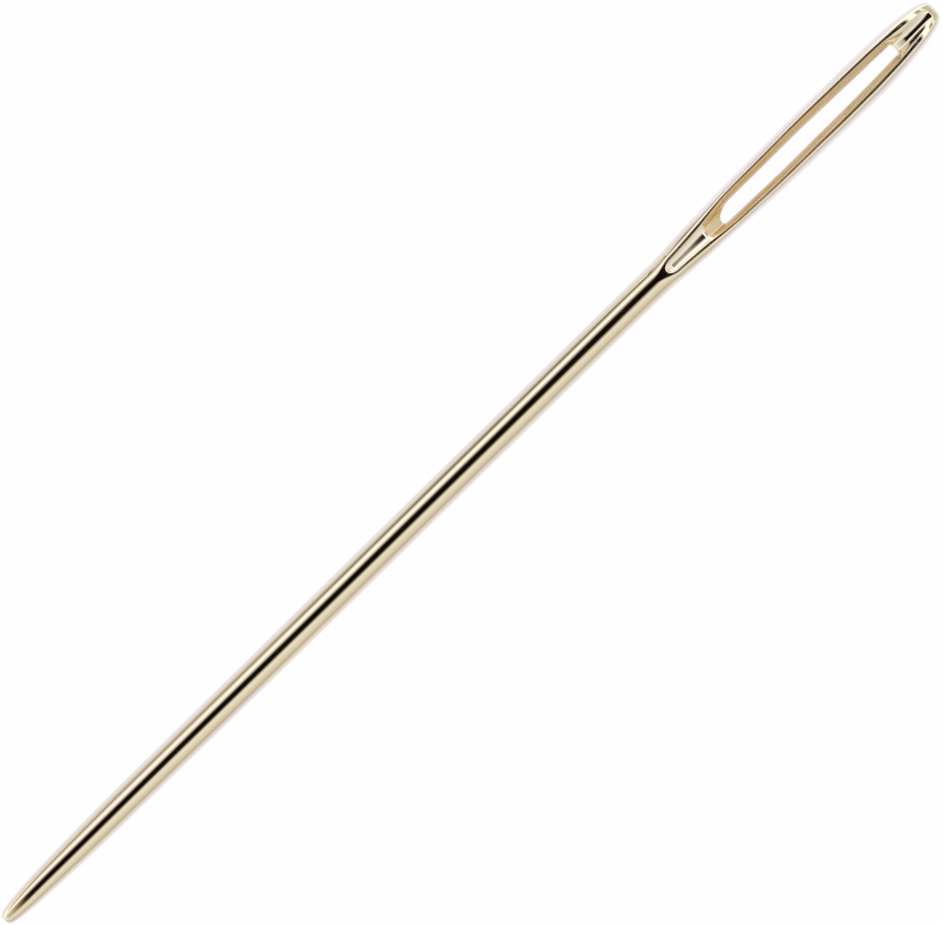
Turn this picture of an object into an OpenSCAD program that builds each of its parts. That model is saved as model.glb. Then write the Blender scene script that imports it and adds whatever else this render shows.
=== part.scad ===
// Yarn needle: a blunt-pointed needle with a long open eye, made from one length of steel wire.
// The head is pressed flat in a die that leaves a gutter above and below the eye on both faces,
// the eye is punched through, and the whole wire is polished and plated pale gold.
// The needle lies along X with its head at +X, and its eye opens along Z.
// The origin is on the surface the shank lies on, half way along the needle.
// The wire is held as five solids that meet face to face and never move against each other:
// the round shank, the neck with its gutter, a limb on each side of the eye, and the nose.
// No one of them goes round the eye, so the eye stays open in collision.

/* [Wire] */
// Overall length, from the point to the end of the head
needle_length = 70; // [56:1:90]
// Diameter of the wire, which the shank keeps
shank_diameter = 1.73; // [1.4:0.01:2.1]

/* [Point] */
// Diameter where the rounded point meets the long taper
point_diameter = 1.65; // [1.3:0.01:1.7]
// Length of the rounded point
point_length = 9.5; // [6:0.1:11]
// Bluntness of the tip, where more is blunter
point_bluntness = 4.6; // [3:0.1:6]
// Distance from the tip to where the taper reaches the full shank
taper_length = 22; // [12:0.5:30]

/* [Head] */
// Width of the head across its widest place
head_width = 2.51; // [2.3:0.01:3]
// Thickness of the head over the limbs, as pressed
head_thickness = 1.44; // [1.2:0.01:1.6]
// Distance from the end of the nose to the head's widest place
nose_length = 5.65; // [4.5:0.05:7]
// Length over which the head swells to that place
swell_length = 15; // [12:0.1:16]
// Length over which the end of the nose rounds off in thickness
nose_round = 1.9; // [1.2:0.1:2.4]
// Length over which the round wire is pressed down to the head's thickness
press_length = 4; // [2:0.1:6]
// Length of the plain flat between the round shank and the gutter
shoulder_length = 0.9; // [0.6:0.1:1.5]

/* [Eye] */
// Length of the eye
eye_length = 13.2; // [11:0.1:14]
// Width of the eye across its widest place
eye_width = 0.88; // [0.6:0.01:1.1]
// Width of the eye at its nose end
eye_end_width = 0.64; // [0.5:0.01:0.8]
// Distance from the end of the nose to the eye's widest place
eye_widest = 11.5; // [9:0.1:13]
// Distance from the end of the nose to the eye
eye_setback = 3; // [2.8:0.1:3.4]
// Radius of the eye's corners
eye_corner = 0.17; // [0.05:0.01:0.25]
// Length of the slanting shank end of the eye
eye_slant = 1; // [0.5:0.1:1.5]
// Thickness of the web that the dies leave and the punch clears
web_thickness = 0.34; // [0.2:0.01:0.6]

/* [Limbs] */
// Distance from the needle's axis to the crest of each limb beside the eye
crest_offset = 0.84; // [0.7:0.01:0.95]
// Width of the flat that the die leaves along each crest
crest_flat = 0.08; // [0.02:0.01:0.12]
// Length over which the crests part where the wire is first pressed
crest_front_length = 1.5; // [1:0.1:2]
// Share of their full distance that the crests reach there
crest_front_share = 0.62; // [0.5:0.01:0.8]
// Length over which the crests then spread to their full distance
crest_spread_length = 4.8; // [3:0.1:7]
// Distance from the end of the nose to where the crests begin to draw in
crest_draw_length = 8; // [5:0.1:9]
// Share by which the crests draw in
crest_draw = 0.155; // [0:0.005:0.2]
// Width of web that the dies leave round the eye, inside the limbs' inner curves
die_margin = 0.03; // [0.01:0.01:0.08]

/* [Gutters] */
// Length of the gutter between the shank and the eye
shank_gutter_length = 4; // [3:0.1:5]
// Depth of that gutter where it begins
shank_gutter_start = 0.13; // [0.08:0.01:0.2]
// Depth of that gutter where it falls into the eye
shank_gutter_depth = 0.25; // [0.18:0.01:0.35]
// Length of the funnel that falls from that gutter into the eye
funnel_length = 1.2; // [0.8:0.1:1.6]
// Depth of the gutter between the eye and the nose, which runs level until the nose rounds off
nose_gutter_depth = 0.29; // [0.15:0.01:0.36]
// Length of the bevel that falls from that gutter into the eye
bevel_length = 1.1; // [0.6:0.05:1.3]
// Length over which the front of the shank's gutter falls from the surface
gutter_run_out = 0.42; // [0.2:0.01:0.5]
// Length by which that front is rounded in plan
gutter_bow = 0.34; // [0.2:0.01:0.5]
// Half width over which it is rounded
gutter_bow_width = 0.34; // [0.25:0.01:0.4]

/* [Hidden] */

plating = [0.85, 0.76, 0.54];
shank_radius = shank_diameter / 2;
half_length = needle_length / 2;
half_head = head_width / 2;
half_press = head_thickness / 2;
half_web = web_thickness / 2;

// Shape of the curves: the point, the swelling of the head, its full nose, the limbs' inner faces
// and the gutters' troughs.
point_rise = 1.5;
swell_start = 1.15;
swell_end = 3;
nose_fullness = 1.76;
nose_shoulder = 4.1;
nose_side_fullness = 2;
limb_fullness = 1.2;
bevel_fullness = 2.5;
shank_trough = [2, 1.1];
nose_trough = [2.7, 2.7];

// Half width of the floor between the limbs, as a share of the crest's distance from the axis.
floor_share = 0.6;

// Length over which the points of the section move from even spacing to their places by the crests.
spacing_length = 1.1;

// Places along the head are distances back from the end of the nose.
eye_start = eye_setback + eye_length;
gutter_start = eye_start + shank_gutter_length;
head_length = gutter_start + shoulder_length;
funnel_start = eye_start + funnel_length;
front_end = head_length - crest_front_length;
swell_base = min(head_length, nose_length + swell_length);

// The limbs are the stretch in which the eye's two sides run free of its ends.
// The neck and the nose each keep a short run of the eye's sides past its slant and its corners.
side_run = 0.15;
slant_end = eye_start - eye_slant;
corner_end = eye_setback + eye_corner;
limb_start = slant_end - side_run;
limb_end = corner_end + side_run;

// Facets of the curves.
point_steps = 22;
outer_steps = 7;
inner_steps = 5;
floor_steps = 3;
eye_side_steps = 13;
slant_side_steps = 3;
corner_steps = 5;
slant_steps = 9;
base_steps = 6;
run_out_steps = 7;
gutter_steps = 5;
funnel_steps = 8;
limb_steps = 22;
bevel_steps = 4;
nose_gutter_steps = 6;
nose_steps = 9;
round_sides = 96;

function mix(a, b, share) = a + (b - a) * share;
function clamp_share(share) = min(1, max(0, share));
function ease(share) = let (s = clamp_share(share)) s * s * (3 - 2 * s);
function superarc(share, fullness, shoulder) =
    pow(max(0, 1 - pow(clamp_share(share), fullness)), 1 / shoulder);

// Outline of the shank, as [distance from the axis, distance from the tip].
// The point rises in one curve from its blunt tip, and a straight taper follows it.
point_radius = point_diameter / 2;
function point_outline(share) = [
    point_radius * pow(1 - pow(1 - pow(share, 3), point_rise), 1 / point_bluntness),
    point_length * pow(share, 3)
];
shank_outline = concat(
    [for (i = [0:point_steps]) point_outline(i / point_steps)],
    [[shank_radius, taper_length]],
    [[shank_radius, needle_length - head_length], [0, needle_length - head_length]]
);

// Outline of the head, seen from above: it swells from the shank and closes in a full nose.
function half_width(back) =
    back > nose_length
    ? mix(
        shank_radius,
        half_head,
        1 - pow(1 - pow(swell_share(back), swell_start), swell_end)
    )
    : half_head * superarc(1 - back / nose_length, nose_fullness, nose_shoulder);
function swell_share(back) = clamp_share((swell_base - back) / (swell_base - nose_length));

// Half thickness over the crests: pressed flat from the round wire and rounded off at the nose.
function half_thick(back) =
    mix(shank_radius, half_press, ease((head_length - back) / press_length))
    * superarc(1 - back / nose_round, nose_side_fullness, nose_side_fullness);

// Distance of each crest from the axis.
// The crests part where the wire is first pressed, spread to stand beside the eye, follow the
// head's outline and draw in towards the nose. Each has a narrow flat, which grows as they part.
function crest_share(back) =
    crest_front_share * ease((head_length - back) / crest_front_length)
    + (1 - crest_front_share) * ease((front_end - back) / crest_spread_length);
function crest(back) =
    crest_offset * half_width(back) / half_head
    * crest_share(back)
    * (1 - crest_draw * clamp_share(1 - back / crest_draw_length));
function half_flat(back) = crest_flat / 2 * crest_share(back) * half_width(back) / half_head;
function crest_outer(back) = crest(back) + half_flat(back);
function crest_inner(back) = crest(back) - half_flat(back);

// Half width of the eye, and of the floor between the limbs.
eye_bow = (eye_width - eye_end_width) / 2 / pow(eye_widest - eye_setback, 2);
function half_eye(back) = eye_width / 2 - eye_bow * pow(back - eye_widest, 2);
function half_floor(back) =
    min(
        half_eye(min(funnel_start, max(back, eye_setback))) - die_margin,
        floor_share * crest_inner(back)
    );

// Depth of the gutters below the crests at the distance y from the axis.
// Each is a trough across its width. The shank's has a round front, and the nose's a level floor,
// so that it runs out where the nose rounds off.
function trough_share(back, y, shape) =
    pow(1 - pow(clamp_share(y / crest_inner(back)), shape[0]), shape[1]);
function shank_depth(back, y) =
    let (
        front = gutter_start - gutter_bow * (1 - superarc(y / gutter_bow_width, 2, 2)),
        along = clamp_share((gutter_start - back) / shank_gutter_length)
    )
    front <= back
    ? 0
    : mix(shank_gutter_start, shank_gutter_depth, along)
        * trough_share(back, y, shank_trough)
        * ease((front - back) / gutter_run_out);
function nose_depth(back, y) =
    max(0, nose_gutter_depth - half_press + half_thick(back)) * trough_share(back, y, nose_trough);
function trough(back, y) = back > eye_widest ? shank_depth(back, y) : nose_depth(back, y);

// Share by which the floor has fallen from a gutter to the web of the eye.
function fallen(back) =
    ease((funnel_start - back) / funnel_length)
    * pow(clamp_share((back - (eye_setback - bevel_length)) / bevel_length), bevel_fullness);

// Height of the head's face above its middle plane at the distance y from the axis:
// the limb's outer curve, the flat of its crest, then the gutter or the limb's inner curve.
function inner_height(back, y) =
    let (
        thick = half_thick(back),
        inner = crest_inner(back),
        drop = superarc((inner - y) / (inner - half_floor(back)), limb_fullness, limb_fullness)
    )
    mix(
        thick - trough(back, y),
        mix(min(half_web, thick), thick, drop),
        fallen(back)
    );
function head_height(back, y) =
    y >= crest_outer(back)
    ? half_thick(back)
        * superarc((y - crest_outer(back)) / (half_width(back) - crest_outer(back)), 2, 2)
    : y >= crest_inner(back)
    ? half_thick(back)
    : inner_height(back, y);

// One quarter of the head's section, as [y, z] from its side to the middle of its face.
// The points are evenly spaced at the round wire and move to their places by the crests.
quarter_steps = outer_steps + inner_steps + floor_steps + 1;
function pressed_places(back) = concat(
    [
        for (i = [0:outer_steps])
        mix(crest_outer(back), half_width(back), cos(90 * i / outer_steps))
    ],
    [
        for (i = [0:inner_steps])
        mix(
            half_floor(back),
            crest_inner(back),
            1 - pow(sin(90 * i / inner_steps), 2 / limb_fullness)
        )
    ],
    [for (i = [1:floor_steps]) half_floor(back) * (1 - i / floor_steps)]
);
function head_quarter(back) =
    let (
        share = ease((head_length - back) / spacing_length),
        pressed = pressed_places(back)
    )
    [
        for (i = [0:quarter_steps])
        let (y = mix(half_width(back) * cos(90 * i / quarter_steps), pressed[i], share))
        [y, head_height(back, y)]
    ];

// A whole section: the quarter and its mirror images in Y and in Z.
// Half a section, on the side that is 1 or -1: the quarter and its mirror image in Z.
// Both start at the side, so that the points i from the start and i from the end are mirror images.
function whole_section(quarter) = concat(
    quarter,
    [for (i = [quarter_steps - 1:-1:0]) [-quarter[i][0], quarter[i][1]]],
    [for (i = [1:quarter_steps]) [-quarter[i][0], -quarter[i][1]]],
    [for (i = [quarter_steps - 1:-1:1]) [quarter[i][0], -quarter[i][1]]]
);
function half_section(quarter, side) = concat(
    [for (i = [0:quarter_steps]) side * quarter[i]],
    [for (i = [quarter_steps:-1:1]) side * [quarter[i][0], -quarter[i][1]]]
);
function ring(back, section) = [for (point = section) [half_length - back, point[0], point[1]]];
function whole_ring(back) = ring(back, whole_section(head_quarter(back)));
function half_ring(back, side) = ring(back, half_section(head_quarter(back), side));

// Sections stand close together where the gutters begin, fall into the eye and close at the nose.
function stretch(from, to, count) = [for (i = [0:count - 1]) mix(from, to, i / count)];
nose_cap = nose_round / 2;
front_run = gutter_bow + gutter_run_out;
neck_stations = concat(
    stretch(head_length, gutter_start, base_steps),
    stretch(gutter_start, gutter_start - front_run, run_out_steps),
    stretch(gutter_start - front_run, funnel_start, gutter_steps),
    stretch(funnel_start, eye_start + die_margin, funnel_steps),
    stretch(eye_start + die_margin, limb_start, slant_side_steps),
    [limb_start]
);
limb_stations = concat(stretch(limb_start, limb_end, limb_steps), [limb_end]);
nose_stations = concat(
    [limb_end],
    stretch(eye_setback + die_margin, eye_setback - bevel_length, bevel_steps),
    stretch(eye_setback - bevel_length, nose_cap, nose_gutter_steps),
    [for (i = [0:nose_steps - 1]) nose_cap * (1 - sin(90 * i / nose_steps))]
);

// A solid through rings of points. Each end is flat, filled by rungs between mirrored points,
// or closes on a pole where one is given for the last ring.
module loft(rings, pole = []) {
    size = len(rings[0]);
    last = len(rings) - 1;
    pole_index = len(rings) * size;
    function at(i, j) = i * size + j % size;
    function rung(i, j) =
        let (
            twin = (size - j) % size,
            next_twin = size - j - 1
        )
        concat(
            [at(i, j), at(i, j + 1)],
            next_twin == j + 1 ? [] : [at(i, next_twin)],
            twin == j ? [] : [at(i, twin)]
        );
    function reversed(face) = [for (k = [len(face) - 1:-1:0]) face[k]];
    rungs = floor(size / 2);
    polyhedron(
        points = concat([for (points = rings) for (point = points) point], pole),
        faces = concat(
            [for (j = [0:rungs - 1]) rung(0, j)],
            [
                for (i = [0:last - 1])
                for (j = [0:size - 1])
                [at(i, j), at(i + 1, j), at(i + 1, j + 1)]
            ],
            [
                for (i = [0:last - 1])
                for (j = [0:size - 1])
                [at(i, j), at(i + 1, j + 1), at(i, j + 1)]
            ],
            len(pole) == 0
                ? [for (j = [0:rungs - 1]) reversed(rung(last, j))]
                : [for (j = [0:size - 1]) [pole_index, at(last, j + 1), at(last, j)]]
        ),
        convexity = 6
    );
}

// Outline of the eye, as [distance back, y]: bowed sides, small corners at the nose end,
// and a shank end that slants from a corner on one side to a long curve on the other.
slant_base = eye_corner - half_eye(eye_start);
function corner_point(centre, from, i) =
    centre + eye_corner * [cos(from + 90 * i / corner_steps), sin(from + 90 * i / corner_steps)];
function nose_corner(side) = [corner_end, side * (half_eye(eye_setback) - eye_corner)];
function side_point(i, side) =
    let (back = mix(corner_end, slant_end, i / eye_side_steps))
    [back, side * half_eye(back)];
eye_outline = concat(
    [for (i = [0:corner_steps]) corner_point(nose_corner(-1), 180, i)],
    [for (i = [1:eye_side_steps]) side_point(i, -1)],
    [for (i = [0:corner_steps - 1]) corner_point([eye_start - eye_corner, slant_base], 270, i)],
    [
        for (i = [0:slant_steps])
        let (turn = 90 * i / slant_steps)
        [
            eye_start - eye_slant * (1 - cos(turn)),
            mix(slant_base, half_eye(slant_end), sin(turn))
        ]
    ],
    [for (i = [eye_side_steps - 1:-1:1]) side_point(i, 1)],
    [for (i = [0:corner_steps]) corner_point(nose_corner(1), 90, i)]
);

// What the punch takes out.
module eye_punch() {
    linear_extrude(height = shank_diameter, center = true)
        polygon([for (point = eye_outline) [half_length - point[0], point[1]]]);
}

// The round wire: blunt tip, long taper and cylindrical shank.
module shank() {
    color(plating)
        translate([-half_length, 0, shank_radius])
            rotate([0, 90, 0])
                rotate_extrude($fn = round_sides)
                    polygon(shank_outline);
}

// The neck, where the wire is pressed flat, its gutter and the slanting end of the eye.
module neck() {
    color(plating)
        translate([0, 0, shank_radius])
            difference() {
                loft([for (back = neck_stations) whole_ring(back)]);
                eye_punch();
            }
}

// One limb: the pressed wire on one side of the eye.
module limb(side) {
    color(plating)
        translate([0, 0, shank_radius])
            difference() {
                loft([for (back = limb_stations) half_ring(back, side)]);
                eye_punch();
            }
}

module left_limb() {
    limb(1);
}

module right_limb() {
    limb(-1);
}

// The nose, with its gutter and the square end of the eye.
module nose() {
    color(plating)
        translate([0, 0, shank_radius])
            difference() {
                loft([for (back = nose_stations) whole_ring(back)], [[half_length, 0, 0]]);
                eye_punch();
            }
}

shank();
neck();
left_limb();
right_limb();
nose();
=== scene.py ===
import math

import bpy
import bmesh
import numpy as np
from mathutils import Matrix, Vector


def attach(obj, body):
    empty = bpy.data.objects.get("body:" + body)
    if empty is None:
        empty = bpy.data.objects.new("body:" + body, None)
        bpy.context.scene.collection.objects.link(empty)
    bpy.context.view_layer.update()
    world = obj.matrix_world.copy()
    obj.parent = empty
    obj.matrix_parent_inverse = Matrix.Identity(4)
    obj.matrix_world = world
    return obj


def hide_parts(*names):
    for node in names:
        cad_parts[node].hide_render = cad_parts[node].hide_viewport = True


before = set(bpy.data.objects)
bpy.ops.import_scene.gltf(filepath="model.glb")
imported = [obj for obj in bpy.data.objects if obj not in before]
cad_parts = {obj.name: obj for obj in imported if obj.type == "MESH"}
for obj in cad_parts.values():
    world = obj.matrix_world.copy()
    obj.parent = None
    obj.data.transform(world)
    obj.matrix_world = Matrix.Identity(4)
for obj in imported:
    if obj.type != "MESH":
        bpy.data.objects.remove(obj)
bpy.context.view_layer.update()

print("frame loaded:", len(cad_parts), "nodes")

# The needle lies along X with its eye at +X. Lengths below are in millimetres, and a place
# along the needle is its distance back from the end of the nose, as in the part's source.
millimetre = 0.001
quarterTurn = math.pi / 2
degrees = 180 / math.pi

# Places that differ by less are one place, and no width that is divided by is less than this
slack = 1e-6
leastWidth = 1e-9

# Metres within which the points of two sheets are joined
mergeDistance = 4e-7


# mix = a + (b - a) s
def mix(a, b, s):
    return a + (b - a) * s


# share = s held between 0 and 1
def share(s):
    return np.clip(s, 0.0, 1.0)


# ease = 3 s^2 - 2 s^3
def ease(s):
    s = share(s)
    return s * s * (3 - 2 * s)


# superArc = (1 - s^fullness)^(1 / shoulder), which falls from 1 at s = 0 to 0 at s = 1
def superArc(s, fullness, shoulder):
    return np.maximum(0.0, 1 - share(s) ** fullness) ** (1 / shoulder)


# The wire. Its bends are how far from straight this one lies, as [from, to, step to one side]
# with places from the tip.
wire = {
    "length": 70.0,
    "radius": 0.865,
    "pointRadius": 0.825,
    "pointLength": 9.5,
    "pointRise": 1.5,
    "pointBluntness": 4.6,
    "pointCrowding": 3,
    "taperLength": 22.0,
    "pointRows": 64,
    "taperRows": 20,
    "shankRows": 22,
    "bends": [
        (0.0, 3.5, 0.031), (6.0, 9.0, 0.007), (12.0, 20.0, -0.012), (22.0, 36.0, 0.019),
        (36.0, 47.0, 0.024), (48.0, 50.3, -0.024), (53.5, 59.0, -0.057), (60.0, 63.0, -0.023),
        (64.8, 68.3, 0.063), (68.3, 70.0, 0.033),
    ],
    "bendStart": -0.012,
}


# Point and taper as [distance from the tip, radius]: with x = L u^3 the point is
# r = p (1 - (1 - x / L)^rise)^(1 / bluntness), and a straight taper follows it
def wireProfile(w):
    u = np.linspace(0, 1, w["pointRows"] + 1) ** w["pointCrowding"]
    full = (1 - (1 - u) ** w["pointRise"]) ** (1 / w["pointBluntness"])
    point = np.stack([w["pointLength"] * u, w["pointRadius"] * full], 1)
    u = np.linspace(0, 1, w["taperRows"] + 1)[1:]
    x = mix(w["pointLength"], w["taperLength"], u)
    return np.concatenate([point, np.stack([x, mix(w["pointRadius"], w["radius"], u)], 1)])


# stepped = the sum of step ease((x - from) / (to - from))
def stepped(x, steps):
    return sum(step * ease((x - near) / (far - near)) for near, far, step in steps)


# The pressed head. Its punch stood a little to one side of the wire, given like the wire's bends.
head = {
    "length": 21.1,
    "width": 2.51,
    "thickness": 1.44,
    "noseLength": 5.65,
    "noseFullness": 1.76,
    "noseShoulder": 4.1,
    "swellLength": 15.0,
    "swellStart": 1.15,
    "swellEnd": 3,
    "noseRound": 1.9,
    "pressLength": 4.0,
    "spacingLength": 1.1,
    "crestOffset": 0.81,
    "crestFlat": 0.12,
    "frontLength": 1.5,
    "frontShare": 0.62,
    "spreadLength": 4.8,
    "drawLength": 8.0,
    "draw": 0.115,
    "limbFullness": 1.2,
    "punchSteps": [
        (48.9, 50.2, -0.032), (53.0, 56.0, 0.035), (56.0, 61.0, 0.030), (65.5, 67.3, -0.028),
        (68.4, 69.7, -0.005),
    ],
}

eye = {
    "setback": 3.0,
    "length": 13.2,
    "width": 0.88,
    "endWidth": 0.64,
    "widest": 11.5,
    "corner": 0.17,
    "slant": 1.0,
    "land": 0.17,
    "lipRadius": 0.05,
    "lipFading": 0.25,
}

gutter = {
    "shankStart": 20.2,
    "bow": 0.34,
    "bowWidth": 0.34,
    "runOut": 0.42,
    "shankDepthStart": 0.11,
    "shankDepth": 0.2,
    "shankTrough": (2.0, 1.1),
    "funnelStart": 17.4,
    "funnelLip": 0.1,
    "noseDepth": 0.3,
    "noseTrough": (2.6, 2.4),
    "noseAside": -0.09,
    "bevel": 1.1,
    "bevelFullness": 2.5,
    "floorShare": 0.6,
}

columns = {"outer": 20, "inner": 14, "corner": 8, "floor": 26}

# How many rows each stretch has, the places where the neck's rows change their spacing, and the
# place from which the wire's columns take theirs
rows = {
    "neck": 30,
    "gutterFront": 50,
    "gutter": 22,
    "funnelMouth": 8,
    "funnelTop": 13,
    "funnel": 26,
    "lip": 5,
    "limb": 84,
    "wall": 6,
    "bevel": 31,
    "nose": 34,
    "cap": 44,
    "frontFrom": 20.4,
    "frontTo": 19.3,
    "evenAt": 19.0,
    "mouthLength": 0.3,
    "topShare": 0.3,
}

eyeStart = eye["setback"] + eye["length"]
limbStart = eyeStart - eye["slant"]
limbEnd = eye["setback"] + eye["corner"]


# halfWidth = mix(r, W, 1 - (1 - t^start)^end) towards the shank, and round the nose
# W (1 - s^fullness)^(1 / shoulder)
def halfWidth(back):
    half, nose = head["width"] / 2, head["noseLength"]
    t = share((nose + head["swellLength"] - back) / head["swellLength"])
    swell = mix(wire["radius"], half, 1 - (1 - t ** head["swellStart"]) ** head["swellEnd"])
    rounded = half * superArc(1 - back / nose, head["noseFullness"], head["noseShoulder"])
    return np.where(back > nose, swell, rounded)


# halfThick = mix(r, T, ease(t)), times a quarter circle at the end of the nose
def halfThick(back):
    pressed = ease((head["length"] - back) / head["pressLength"])
    rounding = superArc(1 - back / head["noseRound"], 2, 2)
    return mix(wire["radius"], head["thickness"] / 2, pressed) * rounding


# parted = f ease(t1) + (1 - f) ease(t2): the crests part quickly, then spread slowly beside
# the gutter
def crestParted(back):
    h = head
    first = ease((h["length"] - back) / h["frontLength"])
    second = ease((h["length"] - h["frontLength"] - back) / h["spreadLength"])
    return mix(second, first, h["frontShare"])


# The two edges of a crest's flat: c (halfWidth / W) parted drawn, and half the flat to each side
def crestEdges(back):
    h = head
    drawn = 1 - h["draw"] * share(1 - back / h["drawLength"])
    size = crestParted(back) * halfWidth(back) / (h["width"] / 2)
    middle, half = h["crestOffset"] * drawn, h["crestFlat"] / 2
    return size * (middle - half), size * (middle + half)


# halfEye = w / 2 - bow (back - widest)^2
def halfEye(back):
    bow = (eye["width"] - eye["endWidth"]) / 2 / (eye["widest"] - eye["setback"]) ** 2
    return eye["width"] / 2 - bow * (back - eye["widest"]) ** 2


# The half width of the floor: the eye's side, or a share of the crest's offset where that is less
def floorEdge(back):
    inner, _ = crestEdges(back)
    besideEye = np.clip(back, eye["setback"], gutter["funnelStart"])
    return np.minimum(halfEye(besideEye), gutter["floorShare"] * inner)


# Across its width a gutter is a trough (1 - q^m)^n, where q goes from 0 at its deepest place,
# which may lie a little aside, to 1 at the crests
def troughShare(back, y, shape, aside=0.0):
    inner, _ = crestEdges(back)
    off = y - aside
    q = share(np.abs(off) / np.maximum(inner - np.sign(off) * aside, slack))
    return (1 - q ** shape[0]) ** shape[1]


# shankGutter = depth trough ease((front - back) / run), with a front that is round in plan:
# front = start - bow (1 - sqrt(1 - (y / w)^2))
def shankGutter(back, y):
    g = gutter
    front = g["shankStart"] - g["bow"] * (1 - superArc(np.abs(y) / g["bowWidth"], 2, 2))
    along = share((g["shankStart"] - back) / (g["shankStart"] - eyeStart))
    depth = mix(g["shankDepthStart"], g["shankDepth"], along)
    return depth * troughShare(back, y, g["shankTrough"]) * ease((front - back) / g["runOut"])


# noseGutter = (depth - T + halfThick) trough, so that its floor is level until the nose rounds off
def noseGutter(back, y):
    g = gutter
    depth = g["noseDepth"] - head["thickness"] / 2 + halfThick(back)
    return np.maximum(0.0, depth) * troughShare(back, y, g["noseTrough"], g["noseAside"])


# Half a section from the side at +Y over the face to the side at -Y, as fixed column values:
# outer columns turn about the crest's ellipse, inner ones run from the crest to the floor's edge,
# and floor ones are shares of the floor's half width
def faceColumns(floorShares):
    o, i = columns["outer"], columns["inner"]
    turn = np.concatenate([np.linspace(0, quarterTurn, o + 1), np.full(i + 1, quarterTurn)])
    drop = np.concatenate([np.zeros(o + 1), np.linspace(0, 1, i + 1)])
    zone = np.concatenate([np.zeros(o + 1), np.ones(i + 1)])
    middle = len(floorShares) - 2
    return {
        "turn": np.concatenate([turn, np.full(middle, quarterTurn), turn[::-1]]),
        "drop": np.concatenate([drop, np.ones(middle), drop[::-1]]),
        "zone": np.concatenate([zone, np.full(middle, 2.0), zone[::-1]]),
        "side": np.concatenate([np.ones(len(turn)), floorShares[1:-1], -np.ones(len(turn))]),
    }


# Each column's share of the floor's half width, which is +1 or -1 outside the floor
def floorSides(col):
    return np.where(col["zone"] == 2, col["side"], np.sign(col["side"]))


# The radius of the eye's lip at each column: r (1 - side^2)^fading on the floor, 0 outside it
def lipRadii(col):
    isFloor = (col["zone"] == 2) * 1.0
    return (1 - col["side"] ** 2) ** eye["lipFading"] * isFloor * eye["lipRadius"]


# Where the columns stand across the head: y = crest + (wide - crest) cos u outside the crest,
# edge + (crest - edge)(1 - sin^(2/f) u) on a limb's inner curve, evenly in a gutter
def columnPlaces(back, col, fallen):
    inner, outer = crestEdges(back)
    edge = floorEdge(back)
    turn, drop, side = col["turn"][None, :], col["drop"][None, :], col["side"][None, :]
    onFlank = mix(outer, halfWidth(back), np.cos(turn))
    curved = 1 - np.sin(quarterTurn * drop) ** (2 / head["limbFullness"])
    onInner = mix(edge, inner, mix(1 - drop, curved, fallen))
    zone = col["zone"][None, :]
    return np.where(zone == 2, side * edge, np.sign(side) * np.where(zone == 0, onFlank, onInner))


# Height of the head's face: T sqrt(1 - s^2) outside the crest, T over its flat, and inside it
# from T - gutter, where fallen is 0, to land + (T - land)(1 - s^f)^(1 / f), where it is 1
def faceHeight(back, y, fallen, gutterDepth):
    inner, outer = crestEdges(back)
    thick, a = halfThick(back), np.abs(y)
    land = np.minimum(eye["land"], thick)
    flank = thick * superArc((a - outer) / np.maximum(halfWidth(back) - outer, leastWidth), 2, 2)
    reach = (inner - a) / np.maximum(inner - floorEdge(back), leastWidth)
    limb = mix(land, thick, superArc(reach, head["limbFullness"], head["limbFullness"]))
    inside = mix(thick - gutterDepth(back, y), limb, fallen)
    return np.where(a >= outer, flank, np.where(a >= inner, thick, inside))


# Shares of the floor's half width, from +1 to -1. At the eye's shank end the columns follow a
# long quarter of an ellipse and then a small corner.
def shankShares():
    half = float(halfEye(eyeStart))
    low = (eye["corner"] - half) / half
    c = columns["corner"]
    u = np.linspace(quarterTurn, 0, columns["floor"] - c + 1)
    v = np.linspace(0, quarterTurn, c + 1)[1:]
    return np.concatenate([mix(low, 1.0, np.sin(u)), low - (1 + low) * np.sin(v)])


# The same at the eye's nose end, where there are two small corners and a straight between them
def noseShares():
    half = float(halfEye(eye["setback"]))
    flat = 1 - eye["corner"] / half
    c = columns["corner"]
    v = np.linspace(quarterTurn, 0, c + 1)
    corner = mix(flat, 1.0, np.sin(v))
    middle = np.linspace(flat, -flat, columns["floor"] - 2 * c + 1)[1:-1]
    return np.concatenate([corner, middle, -corner[::-1]])


# Where the eye starts, for each column: back = eyeStart - slant (1 - cos u) along the ellipse,
# and a quarter circle of the corner's radius where side is past the corner's start
def eyeStartBack(side):
    half = float(halfEye(eyeStart))
    low = (eye["corner"] - half) / half
    sinU = share((side - low) / (1 - low))
    ellipse = eyeStart - eye["slant"] * (1 - np.sqrt(1 - sinU ** 2))
    sinV = share((low - side) / (1 + low))
    return np.where(side > low, ellipse, eyeStart - eye["corner"] * (1 - np.sqrt(1 - sinV ** 2)))


# Where the eye ends, for each column: back = setback + corner (1 - cos v), with v = 0 between
# its two corners
def eyeEndBack(side):
    half = float(halfEye(eye["setback"]))
    flat = 1 - eye["corner"] / half
    sinV = share((np.abs(side) - flat) / (1 - flat))
    return eye["setback"] + eye["corner"] * (1 - np.sqrt(1 - sinV ** 2))


# straightened = (sqrt(s^2 + k^2) - k) / (sqrt(1 + k^2) - k): level at s = 0, then a straight slope
def straightened(s, k):
    return (np.sqrt(s * s + k * k) - k) / (math.sqrt(1 + k * k) - k)


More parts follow.
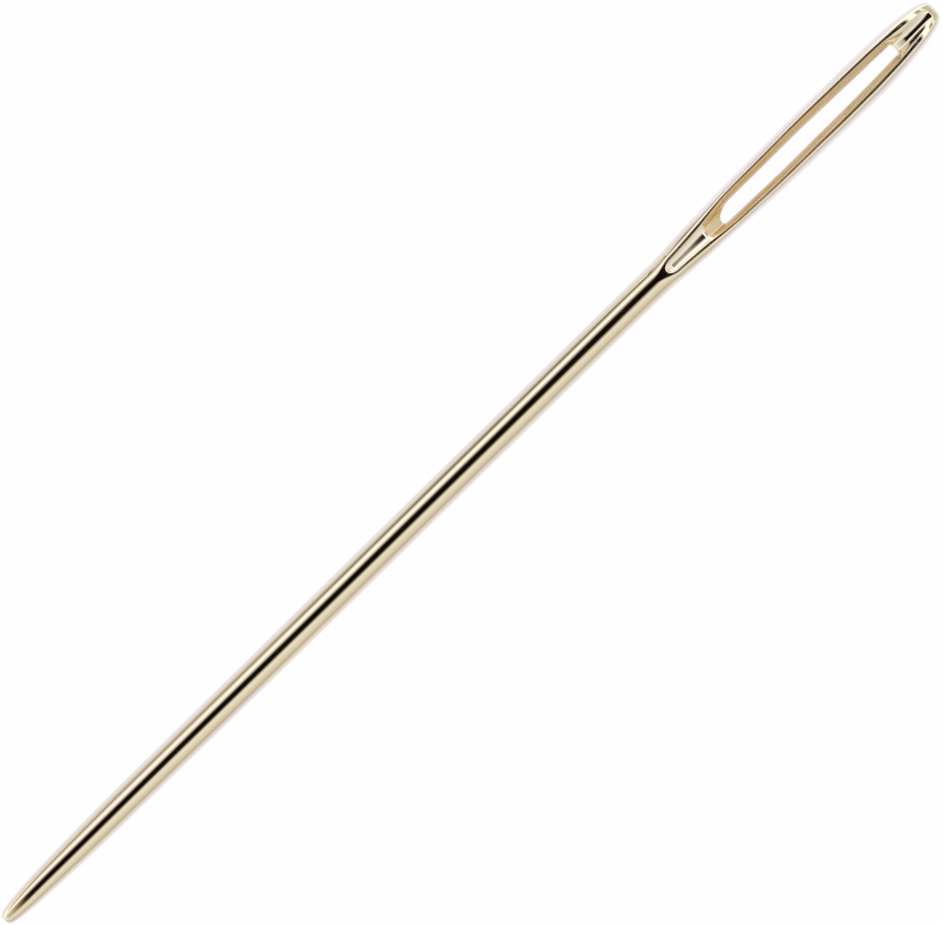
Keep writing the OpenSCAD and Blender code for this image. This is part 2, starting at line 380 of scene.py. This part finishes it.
# The code at each place of the plating's finish and of the tone painted on it for light and shade,
# and the places, lengths and falls in height over which one code runs into the next
finishAndPaintedLightCodes = {
    "noseGutter": 0.2,
    "shankGutter": 0.27,
    "gutterFall": 0.06,
    "flankAtNose": 0.2,
    "flank": 0.35,
    "flankEnd": 17.8,
    "flankRunOut": 2,
    "crestAtNose": 0.5,
    "crest": 0.75,
    "crestStart": 1.4,
    "crestRunIn": 0.8,
    "crestRunOut": 0.3,
    "crestDullAndDarkFrom": 2.5,
    "crestDullAndDarkLength": 7.5,
    "crestClearAt": 17.2,
    "crestClearLength": 1.5,
    "slope": 1.0,
    "slopeAtFunnel": 0.78,
    "slopeBrownFrom": 8.0,
    "slopeBrownLength": 5.5,
    "slopeFall": 0.04,
    "slopeFallen": 0.06,
    "slopeGap": 0.15,
    "slopeRunIn": 0.1,
}


# recess tells the places apart by those codes: a gutter, paler as a painted highlight, the head's
# flanks, paler as a painted reflection of the white floor, the crests beside the eye, painted
# darker and browner as a dark reflection and rougher and darker still away from the nose, and the
# unpolished slopes below them, which are browner towards the funnel, partly from the rough punched
# plating and partly as painted shade. Each code is mixed and multiplied by share((back - place) /
# length).
def recessOf(back, y, z, fallen):
    f = finishAndPaintedLightCodes
    inner, outer = crestEdges(back)
    below = halfThick(back) - z
    pastEye = share((back - eye["setback"] - f["slopeGap"]) / f["slopeRunIn"])
    rough = share(fallen / f["slopeFallen"] - 1) * pastEye
    # Slopes browner towards the funnel: partly the rough punched plating, partly painted shade and
    # reflection between the limbs
    browned = share((back - f["slopeBrownFrom"]) / f["slopeBrownLength"])
    slope = mix(f["slope"], f["slopeAtFunnel"], browned)
    # Gutters get a paler tone, a painted highlight
    inGutter = np.where(back > eyeStart, f["shankGutter"], f["noseGutter"])
    inGutter = inGutter * share(below / f["gutterFall"])
    inside = np.maximum(inGutter, slope * share(below / f["slopeFall"]) * rough)
    atCrest = share((back - f["crestStart"]) / f["crestRunIn"])
    atCrest = atCrest * share((gutter["shankStart"] - back) / f["crestRunOut"])
    # Crests rougher and painted darker and browner, a painted dark reflection, between these
    # places
    dulledAndDarkened = share((back - f["crestDullAndDarkFrom"]) / f["crestDullAndDarkLength"])
    dulledAndDarkened = dulledAndDarkened * share((f["crestClearAt"] - back) / f["crestClearLength"])
    onCrest = mix(f["crestAtNose"], f["crest"], dulledAndDarkened) * atCrest
    # Flanks get a paler tone, a painted reflection of the white floor
    onFlank = mix(f["flankAtNose"], f["flank"], share(back / eye["setback"]))
    onFlank = onFlank * share((f["flankEnd"] - back) / f["flankRunOut"])
    a = np.abs(y)
    return np.where(a < inner - slack, inside, np.where(a < outer + slack, onCrest, onFlank))


# Where the punch stood to one side: the columns inside the crests move by all of it, those
# outside by sin u of it
def punched(back, y, col):
    return y + np.sin(col["turn"])[None, :] * stepped(wire["length"] - back, head["punchSteps"])


sheets = []  # each is (points as rows by columns by 3, recess as rows by columns)


# A sheet of the upper face, and the same with z turned to -z for the lower one
def addFace(x, y, z, depth):
    points = np.stack([x, y, z], 2)
    sheets.append((points, depth))
    sheets.append((points * np.array([1, 1, -1]), depth))


# Shank and neck, one sheet for each face
shankCol = faceColumns(shankShares())
endBack = eyeStartBack(floorSides(shankCol))

profile = wireProfile(wire)
shankEnd = wire["length"] - head["length"]
shankX = np.linspace(wire["taperLength"], shankEnd, wire["shankRows"] + 1)[1:-1]
wireX = np.concatenate([profile[:, 0], shankX])
wireR = np.concatenate([profile[:, 1], np.full(len(shankX), wire["radius"])])

evenBack = np.full((1, len(endBack)), rows["evenAt"])
wireCos = columnPlaces(evenBack, shankCol, 0.0)[0] / halfWidth(rows["evenAt"])
wireSin = np.sqrt(np.maximum(0.0, 1 - wireCos ** 2))

mouthStart = gutter["funnelStart"] + rows["mouthLength"]
backs = np.concatenate([
    np.linspace(head["length"], rows["frontFrom"], rows["neck"])[:-1],
    np.linspace(rows["frontFrom"], rows["frontTo"], rows["gutterFront"])[:-1],
    np.linspace(rows["frontTo"], mouthStart, rows["gutter"])[:-1],
    np.linspace(mouthStart, gutter["funnelStart"], rows["funnelMouth"])[:-1],
])
neckBack = np.repeat(backs[:, None], len(endBack), 1)
neckFallen = np.zeros_like(neckBack)
s = np.concatenate([
    np.linspace(0, rows["topShare"], rows["funnelTop"])[:-1],
    np.linspace(rows["topShare"], 1, rows["funnel"]),
])[:, None]
floorRound = lipRadii(shankCol)
funnelBack = mix(gutter["funnelStart"], endBack + floorRound, s)
funnelFallen = np.repeat(straightened(s, gutter["funnelLip"]), len(endBack), 1)
lipTurn = np.linspace(0, quarterTurn, rows["lip"])[1:, None]
lipBack = endBack + floorRound * (1 - np.sin(lipTurn))
lipDrop = floorRound * (1 - np.cos(lipTurn))
back = np.concatenate([neckBack, funnelBack, lipBack])
fallen = np.concatenate([neckFallen, funnelFallen, np.ones_like(lipBack)])
dropped = np.concatenate([np.zeros_like(neckBack), np.zeros_like(funnelBack), lipDrop])
placed = ease((head["length"] - back) / head["spacingLength"])
y = mix(halfWidth(back) * wireCos, columnPlaces(back, shankCol, fallen), placed)
z = faceHeight(back, y, fallen, shankGutter) - dropped
depth = recessOf(back, y, z, fallen)
y = punched(back, y, shankCol)

x = np.concatenate([np.repeat(wireX[:, None], len(endBack), 1), wire["length"] - back])
y = np.concatenate([wireR[:, None] * wireCos, y])
z = np.concatenate([wireR[:, None] * wireSin, z])
depth = np.concatenate([np.zeros((len(wireX), len(endBack))), depth])
addFace(x, y, z, depth)
shankWall = (x[-1], y[-1], z[-1])
print("shank and neck:", x.shape)

# Limbs, each two faces and the eye's wall between them. The one at +Y starts further on, where the
# eye's long curve ends.
for side in (1, -1):
    half = columns["outer"] + columns["inner"] + 2
    col = {name: values[:half] for name, values in shankCol.items()}
    col["side"] = np.full(half, float(side))
    start = limbStart if side > 0 else eyeStart - eye["corner"]
    back = np.repeat(np.linspace(start, limbEnd, rows["limb"] + 1)[:, None], half, 1)
    y = columnPlaces(back, col, 1.0)
    z = faceHeight(back, y, 1.0, noseGutter)
    depth = recessOf(back, y, z, 1.0)
    y = punched(back, y, col)
    addFace(wire["length"] - back, y, z, depth)
    up = np.linspace(1, -1, rows["wall"] + 1)[None, :]
    ones = np.ones_like(up)
    wall = [(wire["length"] - back[:, -1:]) * ones, y[:, -1:] * ones, z[:, -1:] * up]
    sheets.append((np.stack(wall, 2), np.ones(wall[0].shape)))
print("limbs:", back.shape)

# Nose, from the eye's square end to the pole
noseCol = faceColumns(noseShares())
endBack = eyeEndBack(floorSides(noseCol))
floorRound = lipRadii(noseCol)
lipTurn = np.linspace(quarterTurn, 0, rows["lip"])[:-1, None]
lipBack = endBack - floorRound * (1 - np.sin(lipTurn))
lipDrop = floorRound * (1 - np.cos(lipTurn))
bevelEnd = eye["setback"] - gutter["bevel"]
s = np.linspace(0, 1, rows["bevel"])[:, None]
bevelBack = mix(endBack - floorRound, bevelEnd, s)
bevelFallen = np.repeat((1 - s) ** gutter["bevelFullness"], len(endBack), 1)
cap = head["noseRound"] / 2
backs = np.concatenate([
    np.linspace(bevelEnd, cap, rows["nose"])[1:],
    cap * (1 - np.sin(np.linspace(0, quarterTurn, rows["cap"])[1:])),
])
noseBack = np.repeat(backs[:, None], len(endBack), 1)
back = np.concatenate([lipBack, bevelBack, noseBack])
fallen = np.concatenate([np.ones_like(lipBack), bevelFallen, np.zeros_like(noseBack)])
dropped = np.concatenate([lipDrop, np.zeros_like(bevelBack), np.zeros_like(noseBack)])
y = columnPlaces(back, noseCol, fallen)
z = faceHeight(back, y, fallen, noseGutter) - dropped
depth = recessOf(back, y, z, fallen)
x = wire["length"] - back
y = punched(back, y, noseCol)
addFace(x, y, z, depth)
noseWall = (x[0], y[0], z[0])
print("nose:", x.shape)

# The eye's two end walls
for x, y, z in (shankWall, noseWall):
    first = columns["outer"] + columns["inner"] + 1
    last = first + columns["floor"] + 1
    up = np.linspace(1, -1, rows["wall"] + 1)[:, None]
    ones = np.ones_like(up)
    wall = [ones * x[None, first:last], ones * y[None, first:last], up * z[None, first:last]]
    sheets.append((np.stack(wall, 2), np.ones(wall[0].shape)))


# The quads of a grid of points: (i, j), (i + 1, j), (i + 1, j + 1), (i, j + 1)
def gridQuads(rowCount, columnCount, first):
    index = first + np.arange(rowCount * columnCount).reshape(rowCount, columnCount)
    corners = [index[:-1, :-1], index[1:, :-1], index[1:, 1:], index[:-1, 1:]]
    return np.stack([c.ravel() for c in corners], 1)


# All sheets as one closed mesh in metres, bent as the wire is and set down on the floor
def joinSheets(name, parts):
    points, depths, quads, first = [], [], [], 0
    for grid, depth in parts:
        points.append(grid.reshape(-1, 3))
        depths.append(np.broadcast_to(depth, grid.shape[:2]).ravel())
        quads.append(gridQuads(grid.shape[0], grid.shape[1], first))
        first += grid.shape[0] * grid.shape[1]
    points, depths, quads = np.concatenate(points), np.concatenate(depths), np.concatenate(quads)
    points[:, 1] += wire["bendStart"] + stepped(points[:, 0], wire["bends"])
    points = points + np.array([-wire["length"] / 2, 0, wire["radius"]])
    mesh = bpy.data.meshes.new(name)
    mesh.vertices.add(len(points))
    mesh.vertices.foreach_set("co", (points * millimetre).astype(np.float32).ravel())
    mesh.loops.add(quads.size)
    mesh.loops.foreach_set("vertex_index", quads.astype(np.int32).ravel())
    mesh.polygons.add(len(quads))
    mesh.polygons.foreach_set("loop_start", np.arange(0, quads.size, 4, dtype=np.int32))
    mesh.polygons.foreach_set("use_smooth", np.ones(len(quads), bool))
    mesh.update(calc_edges=True)
    recess = mesh.attributes.new("recess", "FLOAT", "POINT")
    recess.data.foreach_set("value", depths.astype(np.float32))
    work = bmesh.new()
    work.from_mesh(mesh)
    bmesh.ops.remove_doubles(work, verts=work.verts, dist=mergeDistance)
    bmesh.ops.recalc_face_normals(work, faces=work.faces)
    work.to_mesh(mesh)
    work.free()
    mesh.update()
    loopEdges = np.zeros(len(mesh.loops), np.int32)
    mesh.loops.foreach_get("edge_index", loopEdges)
    openEdges = int(np.sum(np.bincount(loopEdges, minlength=len(mesh.edges)) != 2))
    made = bpy.data.objects.new(name, mesh)
    bpy.context.scene.collection.objects.link(made)
    mesh.calc_loop_triangles()
    print(name, "has", len(mesh.loop_triangles), "triangles and", openEdges, "open edges")
    return made


needle = joinSheets("needle", sheets)


# A socket of a node tree. Python's operators on it add Math nodes, and node() adds any other.
class Signal:
    def __init__(self, tree, socket):
        self.tree = tree
        self.socket = socket

    def node(self, kind, settings=(), inputs=(), output=0):
        made = self.tree.nodes.new(kind)
        for name, value in dict(settings).items():
            if name == "stops":  # a ramp has two from the start
                for _ in value[2:]:
                    made.color_ramp.elements.new(0.5)
                for element, (place, colour) in zip(made.color_ramp.elements, value):
                    element.position = place
                    element.color = colour
            else:
                setattr(made, name, value)
        for name, value in dict(inputs).items():
            if isinstance(value, Signal):
                self.tree.links.new(value.socket, made.inputs[name])
            else:
                made.inputs[name].default_value = value
        return Signal(self.tree, made.outputs[output] if len(made.outputs) else None)

    def maths(self, operation, *values):
        return self.node("ShaderNodeMath", {"operation": operation}, dict(enumerate(values)))

    def __add__(self, other):
        return self.maths("ADD", self, other)

    def __sub__(self, other):
        return self.maths("SUBTRACT", self, other)

    def __rsub__(self, other):
        return self.maths("SUBTRACT", other, self)

    def __mul__(self, other):
        return self.maths("MULTIPLY", self, other)

    def __truediv__(self, other):
        return self.maths("DIVIDE", self, other)

    # ease((self - low) / (high - low))
    def held(self, low, high):
        return self.node(
            "ShaderNodeMapRange",
            {"interpolation_type": "SMOOTHSTEP"},
            {"Value": self, "From Min": low, "From Max": high, "To Min": 0.0, "To Max": 1.0},
        )

    # The colour at a share of the way through stops of (share, colour)
    def ramp(self, stops, at):
        return self.node("ShaderNodeValToRGB", {"stops": stops}, {"Fac": at})

    # mix(first, second, self) of two colours, which are the Mix node's inputs 6 and 7 and output 2
    def tint(self, first, second):
        mixed = {"data_type": "RGBA", "blend_type": "MIX"}
        return self.node("ShaderNodeMix", mixed, {0: self, 6: first, 7: second}, 2)

    # This place times a scale in each direction
    def scaled(self, scale):
        inputs = {"Vector": self, "Scale": scale}
        return self.node("ShaderNodeMapping", {"vector_type": "POINT"}, inputs)

    # Noise at this place, which goes from 0 to 1 about 0.5
    def noise(self, scale, detail, roughness):
        inputs = {"Vector": self, "Scale": scale, "Detail": detail, "Roughness": roughness}
        return self.node("ShaderNodeTexNoise", inputs=inputs)


# An owner's node tree, emptied, as a Signal to start from
def startTree(owner):
    owner.use_nodes = True
    owner.node_tree.nodes.clear()
    return Signal(owner.node_tree, None)


# Finishes are (code, tone, extra roughness), and their tones paint light as well: the paler
# gutters and flanks are painted highlight and reflection, and the darker, browner crests and
# slopes partly painted shade and dark reflection. Noises are (scale, detail, roughness), and
# limits are (low, high)
plating = {
    # Paler tones for gutters and flanks are painted highlight and reflection; darker, browner ones
    # for crests and slopes are partly painted shade and dark reflection
    "finishesAndPaintedLight": [
        (0.0, (0.90, 0.785, 0.555, 1), 0.0), (0.2, (0.95, 0.86, 0.67, 1), 0.0),
        (0.27, (0.95, 0.86, 0.67, 1), 0.035), (0.35, (0.96, 0.86, 0.70, 1), 0.14),
        (0.5, (0.83, 0.66, 0.38, 1), 0.075), (0.64, (0.84, 0.58, 0.25, 1), 0.15),
        (0.74, (0.84, 0.56, 0.21, 1), 0.23), (0.78, (0.84, 0.68, 0.43, 1), 0.25),
        (1.0, (0.90, 0.77, 0.545, 1), 0.32),
    ],
    "placeScale": (1000, 1000, 1000),
    "lineScale": (220, 26000, 26000),
    "lineNoise": (1.0, 4.0, 0.6),
    "lineRoughness": 0.03,
    "lineBump": 0.08,
    "grainNoise": (34.0, 3.0, 0.6),
    "grainBump": 0.03,
    "cloudNoise": (0.55, 5.0, 0.55),
    "cloudLimits": (0.38, 0.66),
    "cloudRoughness": 0.03,
    "wornLimits": (0.55, 0.75),
    "wornShare": 0.45,
    "wornColour": (0.92, 0.83, 0.64, 1),
    "stainScale": (900, 3600, 3600),
    "stainNoise": (1.0, 4.0, 0.6),
    "stainLimits": (0.45, 0.7),
    "stainCodes": (0.6, 0.8),
    "stainShare": 0.4,
    "stainColour": (0.66, 0.50, 0.24, 1),
    "pitScale": 2.3,
    "pitLimits": (0.02, 0.05),
    "pitShare": 0.35,
    "pitColour": (0.35, 0.26, 0.12, 1),
    "pitBump": 0.3,
    "roughness": 0.05,
    "bumpStrength": 0.06,
    "bumpDistance": 0.00002,
}


# Polished plating over drawn steel wire. Tone and extra roughness are looked up by the recess
# code;
# the tones are partly painted light: paler gutters and flanks are painted highlight and
# reflection, and darker, browner crests and slopes are partly painted dark reflection and shade.
# On them come fine lines along the wire, a cloudy polish, paler metal where handling has worn it,
# brown stains on the slopes and
# crests beside the eye, and a few pits: roughness = clouds + lines + code's + base, height = lines
# + grain - pits.
def platedSteel(p):
    material = bpy.data.materials.new("platedSteel")
    start = startTree(material)
    place = start.node("ShaderNodeTexCoord", output="Object")
    inMillimetres = place.scaled(p["placeScale"])
    lines = place.scaled(p["lineScale"]).noise(*p["lineNoise"])
    clouds = inMillimetres.noise(*p["cloudNoise"])
    grain = inMillimetres.noise(*p["grainNoise"])
    stains = place.scaled(p["stainScale"]).noise(*p["stainNoise"])
    spots = {"Vector": inMillimetres, "Scale": p["pitScale"], "Randomness": 1.0}
    pit = 1 - start.node("ShaderNodeTexVoronoi", inputs=spots).held(*p["pitLimits"])
    recess = start.node("ShaderNodeAttribute", {"attribute_name": "recess"}, output="Fac")
    tones = [(code, tone) for code, tone, _ in p["finishesAndPaintedLight"]]
    dulls = [(code, (dull, dull, dull, 1)) for code, _, dull in p["finishesAndPaintedLight"]]
    worn = clouds.held(*p["wornLimits"]) * (1 - recess)
    stain = stains.held(*p["stainLimits"]) * recess.held(*p["stainCodes"])
    # The tone ramp by recess code carries painted highlight, reflection and shade besides the
    # plating's colour
    colour = (worn * p["wornShare"]).tint(start.ramp(tones, recess), p["wornColour"])
    colour = (stain * p["stainShare"]).tint(colour, p["stainColour"])
    colour = (pit * p["pitShare"]).tint(colour, p["pitColour"])
    polish = clouds.held(*p["cloudLimits"]) * p["cloudRoughness"] + lines * p["lineRoughness"]
    roughness = polish + start.ramp(dulls, recess) + p["roughness"]
    height = lines * p["lineBump"] + grain * p["grainBump"] - pit * p["pitBump"]
    strength = {"Strength": p["bumpStrength"], "Distance": p["bumpDistance"]}
    bump = start.node("ShaderNodeBump", inputs={**strength, "Height": height})
    shader = start.node(
        "ShaderNodeBsdfPrincipled",
        inputs={"Base Color": colour, "Roughness": roughness, "Metallic": 1.0, "Normal": bump},
    )
    start.node("ShaderNodeOutputMaterial", inputs={"Surface": shader})
    return material


needle.data.materials.append(platedSteel(plating))
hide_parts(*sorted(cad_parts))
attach(needle, "root")
print("plating done")

white = (1, 1, 1, 1)

# Lengths in metres, and angles in degrees
room = {
    "floorHalf": 0.6,
    "floorColour": (0.88, 0.88, 0.87, 1),
    "fibreColour": (0.89, 0.89, 0.88, 1),
    "fibreNoise": (900.0, 4.0, 0.5),
    "fibreLimits": (0.3, 0.7),
    "floorWhite": 0.975,
    # Colours of the painted glow that the metal sees on the floor, beside the needle and far from
    # it
    "glowNear": (0.92, 0.94, 1.2, 1),
    "glowFar": (0.63, 0.615, 0.61, 1),
    "glowReach": 0.0026,
    "glowLean": 0.0019,
    "glowCore": 0.0001,
    "gapHalfAngle": 24.4,
    "gapSoftness": 25.0,
    "gapLean": 3.6,
    "panelSpan": 360,
    "gapSpan": 120,
    "brightest": 2.0,
    "edgeStart": (58, 68),
    "edgeEnd": (84, 94),
    "edgeFaded": (0.9, 0.87, 0.86, 1),
    "shankFade": 0.13,
    "shankFadeAngles": (-6.5, -2),
    "pointFade": 0.65,
    "pointFadeAngles": (-60, -40),
    "noseFade": 0.75,
    "noseFadeAngles": (11, 13),
}


# White paper: part of what the camera and the metal see of it is plain white, so that the
# background is white and the needle's soft shadow stays. For the metal alone it also carries a
# painted glow, a pool of light brightest beside the needle that falls off to the grey of the room
# with the distance y from
# the needle: near = reach / y, with more reach to the left.
def paper(r):
    material = bpy.data.materials.new("paper")
    start = startTree(material)
    place = start.node("ShaderNodeTexCoord", output="Object")
    fibre = place.noise(*r["fibreNoise"]).held(*r["fibreLimits"])
    colour = fibre.tint(r["floorColour"], r["fibreColour"])
    diffuse = start.node("ShaderNodeBsdfDiffuse", inputs={"Color": colour})
    y = start.node("ShaderNodeSeparateXYZ", inputs={"Vector": place}, output="Y")
    # A painted pool of light on the floor, seen only in the metal: brightest beside the needle,
    # falling to grey away from it
    reach = start.maths("GREATER_THAN", y, 0.0) * r["glowLean"] + r["glowReach"]
    near = start.maths("MINIMUM", reach / (start.maths("ABSOLUTE", y) + r["glowCore"]), 1.0)
    glow = near.tint(r["glowFar"], r["glowNear"])
    camera = start.node("ShaderNodeLightPath", output="Is Camera Ray")
    glossy = start.node("ShaderNodeLightPath", output="Is Glossy Ray")
    through = start.node("ShaderNodeLightPath", output="Is Transmission Ray")
    seenColour = (glossy * (1 - camera)).tint(white, glow)
    plain = start.node("ShaderNodeEmission", inputs={"Color": seenColour, "Strength": 1.0})
    seen = (camera + glossy + through) * r["floorWhite"]
    surface = start.node("ShaderNodeMixShader", inputs={"Fac": seen, 1: diffuse, 2: plain})
    start.node("ShaderNodeOutputMaterial", inputs={"Surface": surface})
    return material


half = room["floorHalf"]
floorCorners = [(-half, -half, 0), (half, -half, 0), (half, half, 0), (-half, half, 0)]
floorMesh = bpy.data.meshes.new("floor")
floorMesh.from_pydata(floorCorners, [], [(0, 1, 2, 3)])
floor = bpy.data.objects.new("floor", floorMesh)
bpy.context.scene.collection.objects.link(floor)
floorMesh.materials.append(paper(room))

# The room's colour at each angle from straight above, towards +Y: long soft panels on both
# sides of the needle, and a gap between them
panelStops = [
    (-180, (0.95, 0.97, 1.10)), (-121, (0.88, 0.90, 1.05)), (-95, (0.60, 0.58, 0.56)),
    (-84, (0.56, 0.54, 0.51)), (-73, (0.69, 0.67, 0.64)), (-60, (0.78, 0.77, 0.74)),
    (-44, (0.86, 0.87, 0.87)), (-30, (0.95, 0.96, 0.98)), (0, (1.0, 1.0, 1.0)),
    (24, (0.90, 0.88, 0.92)), (39, (1.05, 1.08, 1.24)), (47, (1.17, 1.25, 1.45)),
    (55, (1.03, 1.06, 1.18)), (62, (0.66, 0.65, 0.67)), (68, (0.31, 0.285, 0.265)),
    (75, (0.22, 0.20, 0.18)), (82, (0.24, 0.22, 0.20)), (90, (0.56, 0.53, 0.56)),
    (121, (0.92, 0.95, 1.15)), (180, (0.95, 0.97, 1.10)),
]

# The gap's colour at each angle from straight above, towards +X: it is dark over the needle and
# opens on the lighter room to both sides
gapStops = [
    (-60, (1.0, 0.98, 1.03)), (-46, (0.80, 0.78, 0.80)), (-36, (0.61, 0.60, 0.61)),
    (-25, (0.57, 0.54, 0.50)), (-20, (0.48, 0.42, 0.35)), (-16.9, (0.33, 0.275, 0.205)),
    (-14.8, (0.22, 0.17, 0.12)), (-13.3, (0.12, 0.09, 0.05)), (-12.4, (0.006, 0.003, 0.001)),
    (8.5, (0.006, 0.003, 0.001)), (9.8, (0.15, 0.14, 0.12)), (11.1, (0.45, 0.44, 0.42)),
    (13, (0.95, 0.96, 1.0)), (16, (1.3, 1.35, 1.45)), (26, (1.3, 1.35, 1.45)),
    (30, (0.46, 0.41, 0.32)), (38, (0.46, 0.41, 0.32)), (43, (1.1, 1.15, 1.25)),
    (46, (1.1, 1.15, 1.25)), (51, (0.63, 0.62, 0.59)),
]

# How wide the gap is at each angle towards +X, as a share of its width straight above
gapWidths = [
    (-45, 1.3), (-12.5, 1.16), (-7.3, 1.02), (-3, 0.87), (0, 1.0), (3.3, 1.12), (45, 1.12),
]


# An angle as a share of the turn from -span / 2 to span / 2, and a colour as a share of the
# brightest, as a ramp's stops
def rampStops(stops, span, brightest):
    return [
        (angle / span + 0.5, (r / brightest, g / brightest, b / brightest, 1))
        for angle, (r, g, b) in stops
    ]


# across = atan2(y, z) and along = atan2(x, z), as seen from the needle. The dark edge beyond the
# left panel fades towards the point and towards the nose.
def studio(r):
    world = bpy.data.worlds.new("studio")
    bpy.context.scene.world = world
    start = startTree(world)
    direction = start.node("ShaderNodeTexCoord", output="Generated")
    parts = start.node("ShaderNodeSeparateXYZ", inputs={"Vector": direction})
    x, y, z = (Signal(parts.tree, socket) for socket in parts.socket.node.outputs)
    across = start.maths("ARCTAN2", y, z) * degrees
    along = start.maths("ARCTAN2", x, z) * degrees
    brightest, panelSpan, gapSpan = r["brightest"], r["panelSpan"], r["gapSpan"]
    widthStops = [(angle, (width, width, width)) for angle, width in gapWidths]
    panels = start.ramp(rampStops(panelStops, panelSpan, brightest), across / panelSpan + 0.5)
    gap = start.ramp(rampStops(gapStops, gapSpan, brightest), along / gapSpan + 0.5)
    widths = start.ramp(rampStops(widthStops, gapSpan, brightest), along / gapSpan + 0.5)
    edge = across.held(*r["edgeStart"]) * (1 - across.held(*r["edgeEnd"]))
    shankFade = (1 - along.held(*r["shankFadeAngles"])) * r["shankFade"]
    pointFade = (1 - along.held(*r["pointFadeAngles"])) * r["pointFade"]
    noseFade = along.held(*r["noseFadeAngles"]) * r["noseFade"]
    panels = (edge * (shankFade + pointFade + noseFade)).tint(panels, r["edgeFaded"])
    offCentre = start.maths("ABSOLUTE", across - r["gapLean"]) / (widths * brightest)
    inner = r["gapHalfAngle"] - r["gapSoftness"] / 2
    inGap = 1 - offCentre.held(inner, inner + r["gapSoftness"])
    dimmed = {"Vector": inGap.tint(panels, gap), "Scale": brightest}
    bright = start.node("ShaderNodeVectorMath", {"operation": "SCALE"}, dimmed)
    camera = start.node("ShaderNodeLightPath", output="Is Camera Ray")
    colour = camera.tint(bright, white)
    background = start.node("ShaderNodeBackground", inputs={"Color": colour, "Strength": 1.0})
    start.node("ShaderNodeOutputWorld", inputs={"Surface": background})


studio(room)

# The camera stands straight above this place, at this height. width is what it sees across, turn
# is in degrees, and clip is in metres.
view = {
    "x": 0.151,
    "y": 0.019,
    "height": 600.0,
    "width": 50.70,
    "turn": -44.40,
    "sensor": 36,
    "clip": (0.01, 5),
}

lens = bpy.data.cameras.new("camera")
lens.sensor_width = view["sensor"]
lens.lens = view["sensor"] * view["height"] / view["width"]
lens.clip_start, lens.clip_end = view["clip"]
camera = bpy.data.objects.new("camera", lens)
bpy.context.scene.collection.objects.link(camera)
camera.location = Vector((view["x"], view["y"], wire["radius"] + view["height"])) * millimetre
camera.rotation_euler = (0, 0, math.radians(view["turn"]))
bpy.context.scene.camera = camera
bpy.context.scene.view_settings.view_transform = "Standard"
print("room and camera done")
